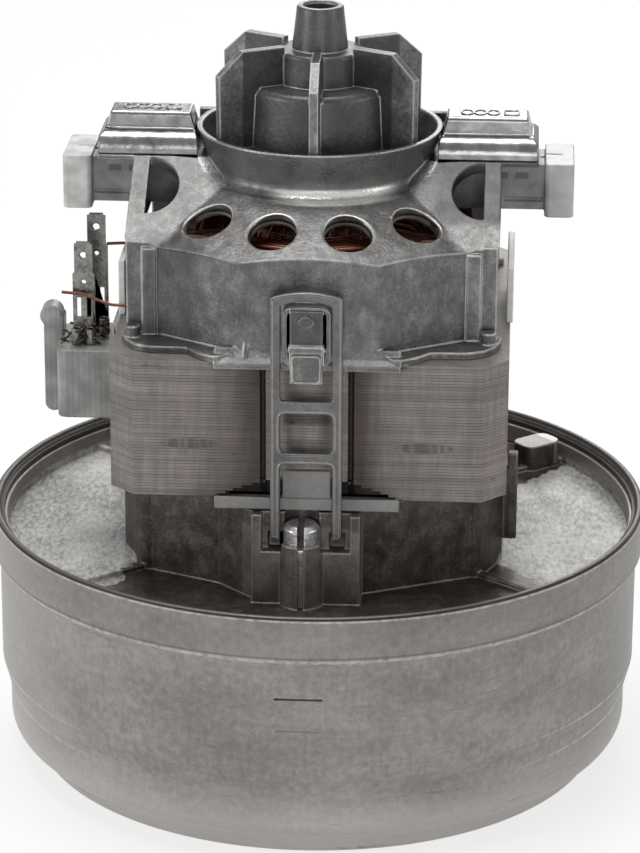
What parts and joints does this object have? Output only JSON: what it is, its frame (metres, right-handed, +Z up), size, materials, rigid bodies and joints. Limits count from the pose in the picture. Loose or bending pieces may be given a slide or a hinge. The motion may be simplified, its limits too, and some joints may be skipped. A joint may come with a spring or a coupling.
{
  "type": "vacuum motor unit",
  "caption": "Round vacuum cleaner motor: fan can with impellers, cast brackets over a laminated stator, brush holders and a top cooling fan.",
  "frame": {"origin": "centre of the can's foot ring, on the floor plane and on the shaft's axis", "axes": "+Z up along the shaft to the cooling fan, -Y to the front with the pocket and its pin, -X to the terminals"},
  "size_m": [0.144, 0.144, 0.168],
  "materials": {
    "can_steel": "dull galvanised sheet",
    "gasket": "dark rubber",
    "cast_alloy": "dark grey die cast surface",
    "bearing_steel": "ground steel",
    "plated_steel": "plated steel",
    "laminations": "varnished lamination edges",
    "liner_sheet": "insulating sheet",
    "enamelled_copper": "enamelled copper wire",
    "white_plastic": "moulded plastic",
    "spring_steel": "spring steel strip and wire",
    "bright_aluminium": "bright pressed sheet",
    "brass": "drawn brass",
    "carbon": "carbon",
    "tinned_brass": "tinned brass",
    "shaft_steel": "ground steel",
    "copper": "bare copper bars",
    "dark_plastic": "dark moulded plastic"
  },
  "bodies": {
    "body": {"fan_can": "can_steel", "rim_gasket": "gasket", "spacer_ring": "can_steel", "stage_plate": "can_steel", "return_guide": "can_steel", "lower_bracket": "cast_alloy", "lower_bearing_outer": "bearing_steel", "lower_bearing_balls": "bearing_steel", "bearing_retainer": "plated_steel", "retainer_screws": "plated_steel", "spring_pin": "plated_steel", "stator_stack": "laminations", "slot_liners": "liner_sheet", "field_coil_front": "enamelled_copper", "field_coil_back": "enamelled_copper", "insulator_bar_front": "white_plastic", "insulator_bar_back": "white_plastic", "side_insulators": "white_plastic", "retaining_strap_front": "spring_steel", "retaining_strap_back": "spring_steel", "upper_bracket": "cast_alloy", "upper_bearing_outer": "bearing_steel", "upper_bearing_balls": "bearing_steel", "brush_clamp_left": "bright_aluminium", "brush_clamp_right": "bright_aluminium", "brush_holder_left": "white_plastic", "brush_holder_right": "white_plastic", "brush_tube_left": "brass", "brush_tube_right": "brass", "brush_spring_left": "spring_steel", "brush_spring_right": "spring_steel", "terminal_block": "white_plastic", "terminal_tabs": "tinned_brass", "lead_wires": "enamelled_copper"},
    "rotor": {"shaft": "shaft_steel", "armature_core": "laminations", "armature_winding": "enamelled_copper", "commutator": "copper", "lower_bearing_inner": "bearing_steel", "upper_bearing_inner": "bearing_steel", "impeller_first": "bright_aluminium", "impeller_second": "bright_aluminium", "impeller_spacer": "plated_steel", "bearing_spacer": "plated_steel", "impeller_washers": "plated_steel", "shaft_nut": "plated_steel", "cooling_fan": "dark_plastic"},
    "brush_left": {"carbon_brush_left": "carbon"},
    "brush_right": {"carbon_brush_right": "carbon"}
  },
  "joints": [
    {"name": "rotor_spin", "type": "hinge", "parent": "body", "child": "rotor", "pos_m": [0, 0, 0.1], "axis": [0, 0, 1], "continuous": true},
    {"name": "brush_left_slide", "type": "slide", "parent": "body", "child": "brush_left", "axis": [-1, 0, 0], "range_m": [0, 0.007], "stiffness_N_per_m": 60, "springref_m": -0.02, "deforming": ["brush_spring_left"]},
    {"name": "brush_right_slide", "type": "slide", "parent": "body", "child": "brush_right", "axis": [1, 0, 0], "range_m": [0, 0.007], "stiffness_N_per_m": 60, "springref_m": -0.02, "deforming": ["brush_spring_right"]}
  ]
}
